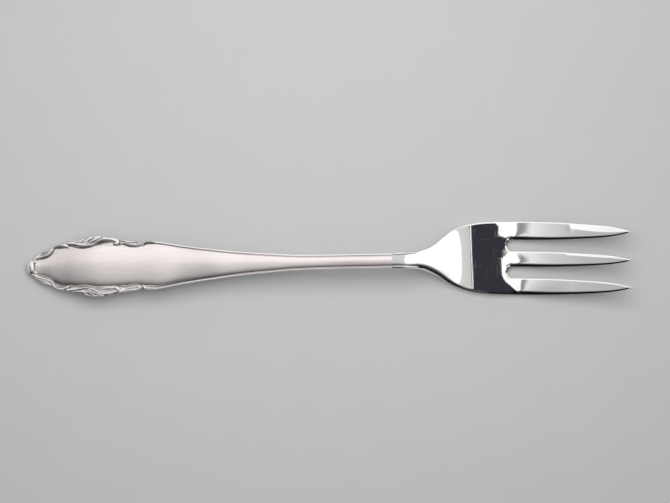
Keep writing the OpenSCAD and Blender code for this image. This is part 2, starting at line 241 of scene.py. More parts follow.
# Carved lines of the border: millimetres from the handle's end and out from its axis, half width, height
# above the border or depth below it, and the share of that width and height left at the line's two ends
RIDGES = {
    "end_rim": ([(0.22, 0), (0.22, 0.8), (0.25, 1.5)], 0.17, 0.1, 1, 0.6),
    "end_shell": ([(1.08, 0), (1.0, 0.8), (0.72, 1.6)], 0.6, 0.3, 1, 0.3),
    "knob": ([(1.9, 1.35), (2.1, 1.45)], 0.36, 0.26, 1, 1),
    "scroll": (
        [(1.3, 2.0), (2.6, 2.5), (3.7, 2.78), (4.75, 3.02), (5.8, 3.55), (6.5, 4.35)],
        0.36, 0.26, 0.6, 0.6,
    ),
    "scroll_edge": ([(0.9, 1.75), (1.6, 2.3), (2.7, 2.95), (3.3, 3.25)], 0.3, 0.12, 0.5, 0.3),
    "scroll_flute_1": ([(3.1, 3.3), (4.2, 3.42), (5.4, 3.85)], 0.22, 0.18, 0.4, 0.6),
    "scroll_flute_2": ([(3.7, 3.8), (4.6, 4.0), (5.9, 4.45)], 0.22, 0.16, 0.4, 0.6),
    "crescent": (
        [(6.1, 4.75), (6.8, 5.3), (7.9, 5.62), (8.9, 5.62), (9.9, 5.4), (10.5, 5.2)],
        0.42, 0.3, 0.5, 0.5,
    ),
    "leaf_spine": (
        [(10.2, 6.0), (11.4, 5.95), (13.0, 5.72), (15.0, 5.45), (16.4, 5.62), (17.6, 6.05), (18.6, 6.6),
         (19.9, 7.0), (21.2, 6.95), (22.5, 6.65), (23.3, 6.25), (23.5, 5.8)],
        0.42, 0.3, 0.3, 0.8,
    ),
    "leaf_rib_1": ([(12.6, 6.25), (14.0, 6.5), (15.6, 7.05)], 0.3, 0.2, 0.3, 0.5),
    "leaf_rib_2": ([(14.0, 6.15), (15.4, 6.5), (17.0, 7.3)], 0.3, 0.22, 0.3, 0.5),
    "leaf_rib_3": ([(15.2, 5.95), (16.9, 6.55), (18.9, 7.4)], 0.32, 0.24, 0.3, 0.5),
    "volute": ([(23.1, 5.75), (22.9, 5.7)], 0.5, 0.32, 1, 1),
    "small_leaf": (
        [(24.0, 6.6), (25.3, 6.35), (26.4, 6.15), (28.0, 6.08), (29.1, 5.75)],
        0.34, 0.26, 0.4, 0.7,
    ),
    "small_leaf_rib": (
        [(25.3, 5.95), (26.3, 5.65), (27.4, 5.45), (28.4, 5.4), (29.3, 5.55)],
        0.3, 0.22, 0.3, 0.6,
    ),
    "hook": ([(29.95, 5.15), (30.0, 5.55), (30.4, 5.9), (31.4, 6.1), (33.0, 6.05)], 0.3, 0.24, 0.9, 0.6),
}
CUTS = {
    "end_line": ([(0.47, 0), (0.44, 0.8), (0.36, 1.5)], 0.1, 0.1, 1, 0.6),
    "end_crescent": ([(1.9, 0), (1.76, 0.7), (1.36, 1.35)], 0.26, 0.13, 1, 0.4),
    "scroll_groove": (
        [(2.3, 1.75), (2.9, 2.0), (3.8, 2.28), (4.8, 2.5), (5.8, 2.95), (6.5, 3.55), (7.0, 4.4)],
        0.3, 0.3, 0.6, 0.8,
    ),
    "crescent_groove": ([(6.95, 4.5), (7.8, 4.95), (9.3, 4.95), (10.6, 4.75)], 0.36, 0.34, 0.8, 0.5),
    "scroll_cut_1": ([(3.4, 3.58), (4.6, 3.68), (5.6, 4.1)], 0.12, 0.18, 0.4, 0.4),
    "scroll_cut_2": ([(3.3, 3.1), (4.4, 3.2), (5.6, 3.7)], 0.12, 0.16, 0.4, 0.4),
    "leaf_notch": ([(10.5, 5.75), (11.0, 5.35), (11.6, 5.2)], 0.28, 0.3, 0.7, 0.7),
    "leaf_groove": (
        [(10.6, 5.4), (12.5, 5.08), (14.5, 4.93), (16.0, 5.1), (17.6, 5.45), (19.0, 5.8)],
        0.36, 0.34, 0.6, 0.8,
    ),
    "leaf_recess": (
        [(16.6, 5.3), (18.2, 5.75), (19.7, 6.15), (21.3, 6.22), (22.6, 6.0)],
        0.62, 0.4, 0.5, 0.6,
    ),
    "leaf_cut_1": ([(13.2, 6.15), (14.5, 6.55), (15.9, 7.35)], 0.17, 0.3, 0.3, 0.6),
    "leaf_cut_2": ([(14.5, 6.1), (16.1, 6.6), (17.5, 7.45)], 0.17, 0.3, 0.3, 0.6),
    "leaf_cut_3": ([(15.6, 5.95), (17.2, 6.3), (18.4, 6.8), (19.7, 7.45)], 0.2, 0.32, 0.3, 0.6),
    "volute_cut": ([(24.05, 6.15), (23.95, 5.6), (23.5, 5.25), (22.9, 5.2)], 0.2, 0.28, 0.6, 0.4),
    "small_leaf_cut": ([(25.2, 6.12), (26.6, 5.85), (28.2, 5.75)], 0.12, 0.16, 0.4, 0.4),
    "small_leaf_groove": (
        [(23.6, 5.2), (24.8, 5.5), (25.8, 5.25), (26.9, 5.02), (28.2, 4.95), (29.3, 5.1)],
        0.32, 0.3, 0.5, 0.8,
    ),
    "hook_notch": ([(29.66, 6.0), (29.66, 5.5), (29.6, 5.1)], 0.2, 0.36, 1, 0.7),
    "hook_groove": (
        [(29.9, 4.95), (30.6, 5.3), (31.6, 5.5), (33.0, 5.5), (35.0, 5.34), (36.6, 5.06)],
        0.15, 0.14, 0.9, 0.5,
    ),
}
# Points that a line is followed in, share of its length where it is widest, and power of its rounding
LINE_STEPS = 40
LINE_WIDEST = 0.4
LINE_POWER = 1.3


def line_points(points):
    """A smooth line through given points."""
    points = np.array(points, float)
    reach = np.concatenate([[0], np.cumsum(np.hypot(*np.diff(points, axis=0).T))])
    along = np.linspace(0, reach[-1], LINE_STEPS)
    places = [curve(np.column_stack([reach, points]), along, column) for column in (1, 2)]
    return np.column_stack(places), along / reach[-1]


def carved(lines, x, y):
    """Height of the carved lines at places x, y, and its share of the line's full height."""
    result, shares = np.zeros_like(x), np.zeros_like(x)
    for points, half_w, height, start_share, end_share in lines.values():
        line, share = line_points(points)
        near = (
            (x > line[:, 0].min() - half_w) & (x < line[:, 0].max() + half_w)
            & (y > line[:, 1].min() - half_w) & (y < line[:, 1].max() + half_w)
        )
        if not near.any():
            continue
        px, py = x[near][:, None], y[near][:, None]
        a, step = line[:-1], np.diff(line, axis=0)
        t = np.clip(((px - a[:, 0]) * step[:, 0] + (py - a[:, 1]) * step[:, 1]) / (step**2).sum(1), 0, 1)
        away = np.hypot(px - a[:, 0] - t * step[:, 0], py - a[:, 1] - t * step[:, 1])
        nearest = away.argmin(1)
        rows = np.arange(len(nearest))
        place = share[nearest] + t[rows, nearest] / (LINE_STEPS - 1)
        full = curve([[0, start_share], [LINE_WIDEST, 1], [1, end_share]], place)
        found = full * bump(away[rows, nearest] / (half_w * full), LINE_POWER)
        result[near] = np.maximum(result[near], height * found)
        shares[near] = np.maximum(shares[near], found)
    return result, shares


def grid_faces(rows, columns, first=0):
    """Faces of a grid whose rows go along +X and whose columns go along +Y, facing up."""
    a = first + np.arange(rows - 1)[:, None] * columns + np.arange(columns - 1)
    return np.stack([a, a + columns, a + columns + 1, a + 1], -1).reshape(-1, 4)


def strip_faces(a, b):
    """Faces between two lines of points with as many points each."""
    return np.stack([a[:-1], a[1:], b[1:], b[:-1]], -1)


def make_piece(name, points, faces, material, sharp_angle):
    """A smooth-shaded piece, with edges that stay sharp from an angle in degrees on."""
    mesh = bpy.data.meshes.new(name)
    mesh.from_pydata((np.asarray(points) * MM).tolist(), [], np.concatenate(faces).tolist())
    mesh.shade_smooth()
    mesh.set_sharp_from_angle(angle=math.radians(sharp_angle))
    piece = bpy.data.objects.new(name, mesh)
    bpy.context.scene.collection.objects.link(piece)
    mesh.materials.append(material)
    return piece


def rising(low, high, step):
    """Evenly spread values from low up to high, the last left out, no further apart than step."""
    return np.linspace(low, high, math.ceil((high - low) / step), endpoint=False)


# Rounding of the handle's edges, the places of its points, and shares of the side wall's height with points
EDGE_R = 0.24
ROUNDING = [EDGE_R * (1 - math.cos(math.radians(angle))) for angle in (0, 20, 40, 60, 75)]
WALL_SHARES = [0, 0.5]
# Rim bead and the groove beside it: middle from the edge inwards, half width, and height or depth
RIM_BEAD, RIM_BEAD_HALF, RIM_BEAD_H = 0.36, 0.21, 0.09
RIM_GROOVE, RIM_GROOVE_HALF, RIM_GROOVE_D = 0.63, 0.19, 0.1
# They come in where the border ends, at millimetres from the handle's end, and fade out on the neck, at
# millimetres from the joint
RIM_START = (29.8, 31.5)
RIM_END = (6, 8)
# On the side away from the cutting tine the bead and the groove lie closer to the edge, by this much
NEAR_RIM_SHIFT = 0.14
# Distance from the edge that is given to points where no rim is pressed
OUT_OF_REACH = 9.0
# Painted shade in the groove beside the rim bead, as a dark share of its colour: where it comes in, and from
# this place on the stem on
PAINTED_GROOVE_SHADE, PAINTED_STEM_GROOVE_SHADE, PAINTED_SHADE_STEM_PLACE = 0.85, 0.5, 70
# On the side away from the cutting tine, where the light shows the cut lines softer, only this share of
# their painted shade is kept
NEAR_SIDE_PAINTED_SHADE = 0.6
# How far the buffing has reached the ground of the border, beside its raised lines
BORDER_WEAR = 0.35
# The end of the handle is rounded when seen from above: END_BOW is how far it draws back at END_BOW_HALF
# beside the axis. The bow grows up to END_BOW_MOST times as far out, and ends at END_BOW_REACH along it
END_BOW, END_BOW_HALF, END_BOW_MOST, END_BOW_REACH = 0.3, 1.45, 1.6, 3.0
# Length of the carved part, and width of the finely divided zone at the edges, which is also at most a share
# of the handle's half width
ORNAMENT_LENGTH = 34
EDGE_ZONE, EDGE_ZONE_SHARE = 2.9, 0.62
# Spacing of the points along the carved part, along the stem and in from the edges, and the panel's columns
CARVED_STEP, STEM_STEP, EDGE_STEP = 0.11, 0.5, 0.1
PANEL_COLUMNS = 14
# Inside of a shell: how far its end wall tapers, as a share of the handle's length, and the foot beside the
# seam: its width, and its height as a share of the height under the groove
END_WALL_SHARE, FOOT_W, FOOT_SHARE = 0.1, 0.08, 0.6
# Angles in degrees from which an edge between two faces is sharp, on the shells and on the head
SHELL_SHARP, HEAD_SHARP = 60, 33


def edge_rounding(d):
    """How far a rounded edge lies below its face at a distance d inwards."""
    return EDGE_R - np.sqrt(np.maximum(EDGE_R**2 - np.maximum(EDGE_R - d, 0) ** 2, 0))


def handle_grid():
    """Places over the outline of the handle: millimetres from its end and from its axis, and the share
    of the side wall's height, which is 1 on the whole top."""
    x = np.concatenate([
        np.zeros(len(WALL_SHARES)), ROUNDING, rising(EDGE_R, ORNAMENT_LENGTH, CARVED_STEP),
        rising(ORNAMENT_LENGTH, HANDLE_LENGTH, STEM_STEP), [HANDLE_LENGTH],
    ])
    row_wall = np.ones(len(x))
    row_wall[: len(WALL_SHARES)] = WALL_SHARES
    q = x / HANDLE_LENGTH
    w = handle_half_w(q)[:, None]
    zone = np.minimum(EDGE_ZONE, EDGE_ZONE_SHARE * w)
    inset = np.concatenate([ROUNDING, rising(EDGE_R, EDGE_ZONE, EDGE_STEP)])[None, :] * zone / EDGE_ZONE
    middle = zone + (w - zone) * np.linspace(0, 1, PANEL_COLUMNS)[None, :]
    inset = np.concatenate([np.zeros((len(x), len(WALL_SHARES))), inset, middle], 1)
    column_wall = np.ones(inset.shape[1])
    column_wall[: len(WALL_SHARES)] = WALL_SHARES
    y = np.concatenate([inset - w, (w - inset)[:, -2::-1]], 1)
    column_wall = np.concatenate([column_wall, column_wall[-2::-1]])
    wall = np.minimum(row_wall[:, None], column_wall[None, :])
    return np.repeat(x[:, None], y.shape[1], 1), y, wall


def edge_distance(x, y):
    """Distance inwards from the outline of the handle."""
    step = 0.02
    w = handle_half_w(x / HANDLE_LENGTH)
    slope = (handle_half_w((x + step) / HANDLE_LENGTH) - w) / step
    return np.minimum((w - np.abs(y)) / np.sqrt(1 + slope**2), x)


def rim_distance(x, y):
    """Distance from the edge that places the rim bead and the groove beside it."""
    return edge_distance(x, y) + NEAR_RIM_SHIFT * (y < 0)


def shell_height(x, y):
    """Height of the pressed face above the seam, and how far down in a carved line and how far up on a
    raised one it lies, from 0 to 1."""
    q = x / HANDLE_LENGTH
    rim = handle_half_t(q) - crown(q)
    d = edge_distance(x, y)
    ridge, ridge_share = carved(RIDGES, x, np.abs(y))
    cut, cut_share = carved(CUTS, x, np.abs(y))
    height = rim + dome(q, y) - edge_rounding(d) + (ridge - cut) * smooth(0, EDGE_R, d)
    return height, cut_share * (1 - ridge_share), ridge_share


def inner_height(x, y):
    """Height of the inside of the shell above the seam."""
    q = x / HANDLE_LENGTH
    w, t = handle_half_w(q), handle_half_t(q)
    low = t - crown(q) - GROOVE_D - SHELL_WALL
    middle = t - crown(q) + dome(q, 0 * q) - SHELL_WALL
    foot = w - SHELL_WALL
    bend = w - border(q) - GROOVE_W / 2
    panel = w - border(q) - GROOVE_W
    result = np.empty_like(x)
    # At half the panel's width its dome has fallen by a quarter of its height
    for i in range(len(x)):
        result[i] = np.interp(
            np.abs(y[i]),
            [0, panel[i, 0] / 2, bend[i, 0], foot[i, 0] - FOOT_W, foot[i, 0]],
            [middle[i, 0], middle[i, 0] - crown(q[i, 0]) / 4, low[i, 0], FOOT_SHARE * low[i, 0], 0],
        )
    return result


def make_handle_shell(name, side, material):
    """One pressed half of the handle: side is 1 for the front and -1 for the back."""
    x, y, wall = handle_grid()
    height, painted_shade, raised = shell_height(x, y)
    bow = END_BOW * np.minimum(np.abs(y) / END_BOW_HALF, END_BOW_MOST) ** 2
    bow *= 1 - smooth(0, END_BOW_REACH, x)
    outer_z = seam_z(x / HANDLE_LENGTH) + side * height * wall
    inner_x = x + SHELL_WALL * np.maximum(0, 1 - x / (END_WALL_SHARE * HANDLE_LENGTH))
    w = handle_half_w(x / HANDLE_LENGTH)
    inner_y = y * (w - SHELL_WALL) / w
    inner_z = seam_z(x / HANDLE_LENGTH) + side * inner_height(x, inner_y) * (wall > 0)
    points = np.concatenate([
        np.column_stack([(px + bow - FORK_LENGTH / 2).ravel(), py.ravel(), pz.ravel()])
        for px, py, pz in ((x, y, outer_z), (inner_x, inner_y, inner_z))
    ])
    rows, columns = x.shape
    first = rows * columns
    index = np.arange(first).reshape(rows, columns)
    border_loop = np.concatenate([index[:, 0], index[-1, 1:], index[-2::-1, -1], index[0, -2::-1]])
    faces = [
        grid_faces(rows, columns),
        grid_faces(rows, columns, first)[:, ::-1],
        strip_faces(border_loop + first, border_loop),
    ]
    if side < 0:
        faces = [f[:, ::-1] for f in faces]
    piece = make_piece(name, points, faces, material, SHELL_SHARP)
    rim_away = rim_distance(x, y)
    on_stem = smooth(*RIM_START, x) * wall
    # Painted shade: cut lines and the rim groove get a dark share of colour that stands in for their shade
    groove = mix(PAINTED_GROOVE_SHADE, PAINTED_STEM_GROOVE_SHADE, smooth(ORNAMENT_LENGTH, PAINTED_SHADE_STEM_PLACE, x))
    groove *= bump((rim_away - RIM_GROOVE) / RIM_GROOVE_HALF)
    painted_shade = np.maximum(painted_shade * np.where(y < 0, NEAR_SIDE_PAINTED_SHADE, 1), on_stem * groove)
    raised = np.maximum(raised, on_stem * bump((rim_away - RIM_BEAD) / RIM_BEAD_HALF))
    on_border = smooth(0, GROOVE_W, np.abs(y) - panel_half(x / HANDLE_LENGTH)) * (1 - on_stem)
    raised = np.maximum(raised, BORDER_WEAR * on_border)
    for attribute, outside, inside in (
        ("edge_distance", rim_away * MM, OUT_OF_REACH * MM), ("painted_recess_shade", painted_shade, 0), ("raised", raised, 0),
        ("rim_side", side * on_stem, 0),
    ):
        store(piece, attribute, np.concatenate([outside.ravel(), np.full(first, inside)]))
    return piece


def store(piece, name, values):
    """Keeps a number on each point of a piece."""
    attribute = piece.data.attributes.new(name, "FLOAT", "POINT")
    attribute.data.foreach_set("value", np.asarray(values, np.float32))


def add(tree, kind, inputs=None, **properties):
    """Adds a node, sets its properties, and sets or links its inputs, named or numbered."""
    node = tree.nodes.new(kind)
    for name, value in properties.items():
        setattr(node, name, value)
    for name, value in (inputs or {}).items():
        socket = node.inputs[name]
        if isinstance(value, bpy.types.NodeSocket):
            tree.links.new(value, socket)
        else:
            socket.default_value = value
    return node


def hex_colour(text):
    """Linear colour of an sRGB hex value."""
    parts = [int(text[i : i + 2], 16) / 255 for i in (1, 3, 5)]
    linear = [v / 12.92 if v <= 0.04045 else ((v + 0.055) / 1.055) ** 2.4 for v in parts]
    return (*linear, 1)


def new_material(name):
    """An empty material, its nodes and its output."""
    material = bpy.data.materials.new(name)
    material.use_nodes = True
    tree = material.node_tree
    tree.nodes.clear()
    output = add(tree, "ShaderNodeOutputMaterial")
    return material, tree, output


def noise_pattern(tree, size, **settings):
    """Mottled pattern on the piece's own coordinates, with spots as large as size along X, Y and Z."""
    place = add(tree, "ShaderNodeTexCoord")
    scale = tuple(1 / length for length in size)
    stretched = add(tree, "ShaderNodeMapping", {0: place.outputs["Object"], "Scale": scale})
    noise = add(tree, "ShaderNodeTexNoise", {"Vector": stretched.outputs[0], "Scale": 1, **settings})
    return noise.outputs["Fac"]


# Satin stainless steel, brushed lengthwise: a soft, slightly warm sheen with faint streaks along the handle.
# Its brush marks are too fine to show, so the streaks are drawn several times as wide. Cut lines and the
# rim groove get painted shade, a darker colour for the shade in them, and raised lines are buffed smoother
# and less warm
def satin_steel():
    material, tree, output = new_material("satin_stainless_steel")
    streak_w, streak_length = 0.3 * MM, 16 * MM
    streaks = noise_pattern(tree, (streak_length, streak_w, streak_w), Detail=3, Roughness=0.6)
    # Painted shade: the share stored on the points darkens the colour towards near black in the carved lines
    painted_recess_shade = add(tree, "ShaderNodeAttribute", attribute_name="painted_recess_shade")
    painted_shade_amount = add(
        tree, "ShaderNodeMapRange",
        {"Value": painted_recess_shade.outputs["Fac"], "From Min": 0.2, "From Max": 0.95, "To Min": 0, "To Max": 0.88},
    )
    brushed = add(
        tree, "ShaderNodeMix",
        {"Factor": streaks, 6: hex_colour("#DCD4D3"), 7: hex_colour("#F8F1F0")},
        data_type="RGBA",
    )
    raised = add(tree, "ShaderNodeAttribute", attribute_name="raised")
    worn = add(
        tree, "ShaderNodeMapRange",
        {"Value": raised.outputs["Fac"], "From Min": 0.05, "From Max": 0.7},
    )
    buffed = add(
        tree, "ShaderNodeMix",
        {"Factor": worn.outputs[0], 6: brushed.outputs[2], 7: hex_colour("#ECE9E9")},
        data_type="RGBA",
    )
    steel = add(
        tree, "ShaderNodeMix",
        {"Factor": painted_shade_amount.outputs[0], 6: buffed.outputs[2], 7: hex_colour("#3E3C3D")},
        data_type="RGBA",
    )
    satin_rough = add(tree, "ShaderNodeMapRange", {"Value": streaks, "To Min": 0.26, "To Max": 0.33})
    rough = add(tree, "ShaderNodeMix", {"Factor": worn.outputs[0], "A": satin_rough.outputs[0], "B": 0.23})
    relief = add(tree, "ShaderNodeBump", {"Height": streaks, "Strength": 0.12, "Distance": 0.01 * MM})
    shader = add(tree, "ShaderNodeBsdfPrincipled", {
        "Base Color": steel.outputs[2], "Roughness": rough.outputs[0], "Normal": relief.outputs[0],
        "Metallic": 1,
    })
    tree.links.new(shader.outputs[0], output.inputs["Surface"])
    return material


# Mirror-polished stainless steel: clear reflections, and hairline scratches that hardly catch the eye. Real
# ones are too fine to show, so they are drawn wider
def polished_steel():
    material, tree, output = new_material("mirror_polished_stainless_steel")
    hairline_w, hairline_length = 0.22 * MM, 5 * MM
    scratches = [
        noise_pattern(tree, size, Detail=2)
        for size in ((hairline_w, hairline_length, hairline_w), (hairline_length, hairline_w, hairline_w))
    ]
    hairlines = add(tree, "ShaderNodeMath", {0: scratches[0], 1: scratches[1]}, operation="MAXIMUM")
    height = add(tree, "ShaderNodeMath", {0: scratches[0], 1: scratches[1]}, operation="ADD")
    rough = add(
        tree, "ShaderNodeMapRange",
        {"Value": hairlines.outputs[0], "From Min": 0.58, "From Max": 0.8, "To Min": 0.015, "To Max": 0.13},
    )
    relief = add(
        tree, "ShaderNodeBump",
        {"Height": height.outputs[0], "Strength": 0.3, "Distance": 0.003 * MM},
    )
    shader = add(tree, "ShaderNodeBsdfPrincipled", {
        "Base Color": hex_colour("#E8E6E6"), "Roughness": rough.outputs[0], "Normal": relief.outputs[0],
        "Metallic": 1,
    })
    tree.links.new(shader.outputs[0], output.inputs["Surface"])
    return material


# Cast resin cement: dull, sandy and mottled, and out of sight until the handle is opened
def cutlers_cement():
    material, tree, output = new_material("resin_cement")
    grain_w = 0.4 * MM
    grain = noise_pattern(tree, (grain_w, grain_w, grain_w), Detail=4)
    colour = add(
        tree, "ShaderNodeMix",
        {"Factor": grain, 6: hex_colour("#A99877"), 7: hex_colour("#C2B293")},
        data_type="RGBA",
    )
    shader = add(tree, "ShaderNodeBsdfPrincipled", {"Base Color": colour.outputs[2], "Roughness": 0.9})
    tree.links.new(shader.outputs[0], output.inputs["Surface"])
    return material


# Head: the tines from the side tine to the cutting tine
MIDDLE_TINE, CUTTING_TINE = 1, 2
TINE_HALVES = [w / 2 for w in TINE_WIDTHS]
TINE_MIDDLES = [
    TINE_HALVES[0] - HEAD_W / 2,
    TINE_WIDTHS[0] + SLOT_W + TINE_HALVES[1] - HEAD_W / 2,
    HEAD_W / 2 - TINE_HALVES[2],
]
SLOT_MIDDLES = [TINE_WIDTHS[0] + SLOT_R - HEAD_W / 2, HEAD_W / 2 - TINE_WIDTHS[2] - SLOT_R]
# Rounding of the edges away from the cutting tine, at millimetres from the joint: width, depth and power
near_edge = [
    [0, 0.3, 0.14, 2], [5, 1.5, 0.57, 2.2], [8, 2.1, 0.8, 2.2], [10, 1.9, 0.72, 2.2], [13.6, 1.3, 0.52, 2.1],
    [17, 0.8, 0.37, 1.8], [20, 0.5, 0.27, 1.5], [26, 0.5, 0.27, 1.5], [32.5, 1.0, 0.55, 1.5],
    [37, 0.85, 0.48, 1.5], [46, 0.65, 0.39, 1.4], [62, 0.4, 0.26, 1.4],
]
# Width and depth of the rounding of the other edges, and of the roots of the slots
FAR_EDGE = (0.3, 0.16)
ROOT_EDGE = (0.32, 0.24)
# The rounding of the root goes over into that of the tines where the root faces across the fork by these
# shares, on the side that faces away from the cutting tine and on the side that faces it
ROOT_TURN_NEAR, ROOT_TURN_FAR = (0.75, 1.0), (0.3, 0.8)
# Most of the head's thickness that the rounding takes: at the top, and at the underside
ROUNDING_SHARES = (0.45, 0.25)
# The hollow of the blade runs on towards the tines: how much further on its end and the start of the
# straight tines lie than on the cutting side, at millimetres from the axis
hollow_lags = [
    [-9.4, 5.2, 0.9], [-8.2, 4.0, 0.9], [-6.9, 2.4, 0.9], [-5.6, 1.1, 0.9], [-4.4, 0.6, 0.8],
    [-3.3, 0.5, 0.6], [-1.5, 0.45, 0.6], [0.2, 0.5, 0.5], [1.2, 0.6, 0.5], [2.2, 0.6, 0.4], [3.2, 0.5, 0.3],
    [4.6, 0.2, 0.1], [5.6, 0, 0], [8.2, 0, 0], [9.4, -1.6, 0],
]
# Places on the cutting side, at millimetres from the joint: the hollow's start and end, the start of the
# straight tines, and where the lag has ended. The tines start at least LAG_TURN after the hollow's end
HOLLOW_START, HOLLOW_END, TINES_START, LAG_END = 21.2, 27.7, 32.0, 46.0
LAG_TURN = 0.8
# Share of the fall that comes from the lag which the tines make up for again, up to LAG_END
LAG_EVENED = 0.6
# The underside comes to follow the lag between these places
UNDERSIDE_LAG = (28, 38)
# Points at which the slopes are added up: along the head's middle, and along and across its top
PROFILE_POINTS = 2000
LAG_GRID = (500, 151)
# The steep of the shoulders ends earlier towards their edges, by this much, which goes between these places
SHOULDER_BOW = 0.9
BOW_FADE = (17.5, 20.3)
# The steep lies askew, by this many millimetres along the fork for each one across it: the skew comes in
# between the first two places and goes between the other two
SHOULDER_SKEW = 0.02
SKEW_IN, SKEW_OUT = (10, 16), (22, 26)
# The neck starts with the stem's dome and rounded edges, which fade out between these places. Its edges have
# this share of the handle's rounding
NECK_FADE = (0.5, 7.5)
NECK_ROUNDING_SHARE = 0.6
# Soft fall of the blade towards the roots of the slots: reach and depth, for the slot beside the side tine
# and the slot beside the cutting tine. It fades out along the tines up to ROOT_FALL_END
ROOT_FALLS = [(0.6, 0.01), (2.6, 0.082)]
ROOT_FALL_END = SHOULDER_LENGTH + 4 * SLOT_R
# Rows of points before the tines: the first ones at the joint, then evenly spread from BODY_START on, and
# closer and closer to the roots of the slots, at millimetres before them. The rows bend round the roots over
# the last ROOT_BEND before them
JOINT_ROWS = [0, 0.05]
BODY_START, BODY_STEP, ROOT_ROWS_START, ROOT_BEND = 0.1, 0.22, 3, 9
before_root = [
    2.6, 2.1, 1.7, 1.35, 1.05, 0.8, 0.6, 0.45, 0.38, 0.32, 0.27, 0.23, 0.19, 0.15, 0.12, 0.09, 0.06, 0.03, 0,
]
# Rows along the tines: spacing as a share of their length, the share where the tips begin, and rows there
TINE_STEP_SHARE, TIP_SHARE, TIP_ROWS = 0.012, 0.9, 14
# Columns of a tine, at distances in from its edges, and angles round the root of a slot
tine_insets = [0, 0.01, 0.04, 0.09, 0.15, 0.23, 0.32, 0.45, 0.65, 0.85, 1.1, 1.35, 1.6, 1.8]
ROOT_ANGLES = 29
# Tang: rows, width and thickness at its end as a share of those at the joint, and the angle from the middle
# plane at which the rounding of its sides starts
TANG_ROWS = 8
TANG_END_SHARE = 0.7
TANG_SIDE_ANGLE = 12
# Ground bevels on the cutting side of the tines, from the side tine to the cutting tine: where they start,
# and the share of the tine's width that they take there and at a distance further on
BEVEL_STARTS = [44.7, 44.7, 46.0]
BEVEL_SHARES = [[0.05, 0.12], [0.18, 0.26], [0.36, 0.54]]
BEVEL_GROWTH = 10
BEVEL_RUN_IN = 0.6
BEVEL_TILT = math.radians(6.5)
# Soft swelling where the widest bevel starts: height and radius
SWELLING_H, SWELLING_R = 0.02, 0.7
# Least distance that is divided by, and the rounding error that is allowed for at the roots
LEAST_AWAY, ROUNDING_ERROR = 0.01, 1e-9


def top_profile(s):
    """Height of the middle of the head's top, from the slopes along it."""
    places, z = rise_along(head_slopes, HEAD_LENGTH, PROFILE_POINTS)
    drop = -z.min()
    z *= (ARCH_H + NECK_T - BLADE_T) / drop
    return np.interp(s, places, z) + ARCH_H + NECK_T


def lag_at(s, y):
    """How far the slopes of the blade lie behind those of the cutting side."""
    hollow, tines = curve(hollow_lags, y, 1), curve(hollow_lags, y, 2)
    first = HOLLOW_END + hollow
    last = np.maximum(TINES_START + tines, first + LAG_TURN)
    lag = hollow * smooth(HOLLOW_START, HOLLOW_END, s)
    lag = mix(lag, tines, np.clip((s - first) / (last - first), 0, 1))
    lag = lag * (1 - smooth(last, LAG_END, s))
    return np.minimum(lag, np.maximum(s - HOLLOW_START, 0))


def lag_fall(x, y):
    """How far the head's top lies below that of the cutting side because its slopes lag behind."""
    fine_s = np.linspace(0, HEAD_LENGTH, LAG_GRID[0])
    fine_y = np.linspace(-HEAD_W / 2, HEAD_W / 2, LAG_GRID[1])
    s, across = np.meshgrid(fine_s, fine_y, indexing="ij")
    missing = tangent(head_slopes, s) - tangent(head_slopes, s - lag_at(s, across))
    step = fine_s[1]
    falls = np.cumsum((missing[1:] + missing[:-1]) / 2 * step, 0)
    table = np.concatenate([np.zeros((1, len(fine_y))), falls])
    # The last row and column are read from the cell before them
    row = np.clip(x / step, 0, len(fine_s) - 1.001)
    column = np.clip((y - fine_y[0]) / (fine_y[1] - fine_y[0]), 0, len(fine_y) - 1.001)
    i, j = row.astype(int), column.astype(int)
    before = mix(table[i, j], table[i, j + 1], column - j)
    after = mix(table[i + 1, j], table[i + 1, j + 1], column - j)
    return mix(before, after, row - i) * (1 - LAG_EVENED * smooth(TINES_START, LAG_END, x))


def top_surface(x, y):
    """Height of the head's top before its edges are rounded."""
    low, high = head_edges(x)
    out = np.clip(np.abs(2 * y - low - high) / (high - low), 0, 1)
    bow = SHOULDER_BOW * out**4 * (1 - smooth(*BOW_FADE, x))
    skew = SHOULDER_SKEW * y * smooth(*SKEW_IN, x) * (1 - smooth(*SKEW_OUT, x))
    return top_profile(x + bow + skew) - lag_fall(x, y)


def head_t(s):
    """Thickness of the head."""
    blade = mix(NECK_T, BLADE_T, curve(thinning_shares, np.minimum(s / SHOULDER_LENGTH, 1)))
    return np.where(s < SHOULDER_LENGTH, blade, mix(BLADE_T, TIP_T, (s - SHOULDER_LENGTH) / TINE_LENGTH))


def tine_middle(tine, s):
    """Middle line of a tine, which leans from the root of its slot on."""
    lean = np.clip((s - SHOULDER_LENGTH - SLOT_R) / (TINE_LENGTH - SLOT_R), 0, 1)
    return np.array(TINE_MIDDLES)[tine] - TINE_LEAN * lean


def tine_half(tine, s):
    """Half width of a tine, which narrows towards its tip."""
    u = np.clip((s - SHOULDER_LENGTH) / TINE_LENGTH, 0, 1)
    return mix(TIP_W / 2, np.array(TINE_HALVES)[tine], curve(taper_shares, u))


def head_columns():
    """Columns across the head: place at the roots, distance that the row of the roots lies past the
    root, and the tine or -1 for a slot."""
    inset = np.array(tine_insets)
    columns = []
    for tine, (middle, half) in enumerate(zip(TINE_MIDDLES, TINE_HALVES)):
        places = np.concatenate([inset - half, [0], (half - inset)[::-1]])
        columns += [(middle + place, SLOT_R, tine) for place in places]
        if tine < CUTTING_TINE:
            for angle in np.linspace(-math.pi / 2, math.pi / 2, ROOT_ANGLES)[1:-1]:
                place = SLOT_MIDDLES[tine] + SLOT_R * math.sin(angle)
                columns.append((place, SLOT_R * (1 - math.cos(angle)), -1))
    return columns


def head_edges(s):
    """Edges of the neck, shoulders and blade: on the side tine's side and on the cutting tine's."""
    v = np.clip(s / SHOULDER_LENGTH, 0, 1)
    low = -mix(STEM_W, HEAD_W, curve(shoulder_shares, v, 2)) / 2
    high = mix(STEM_W, HEAD_W, curve(shoulder_shares, v, 1)) / 2
    return low, high


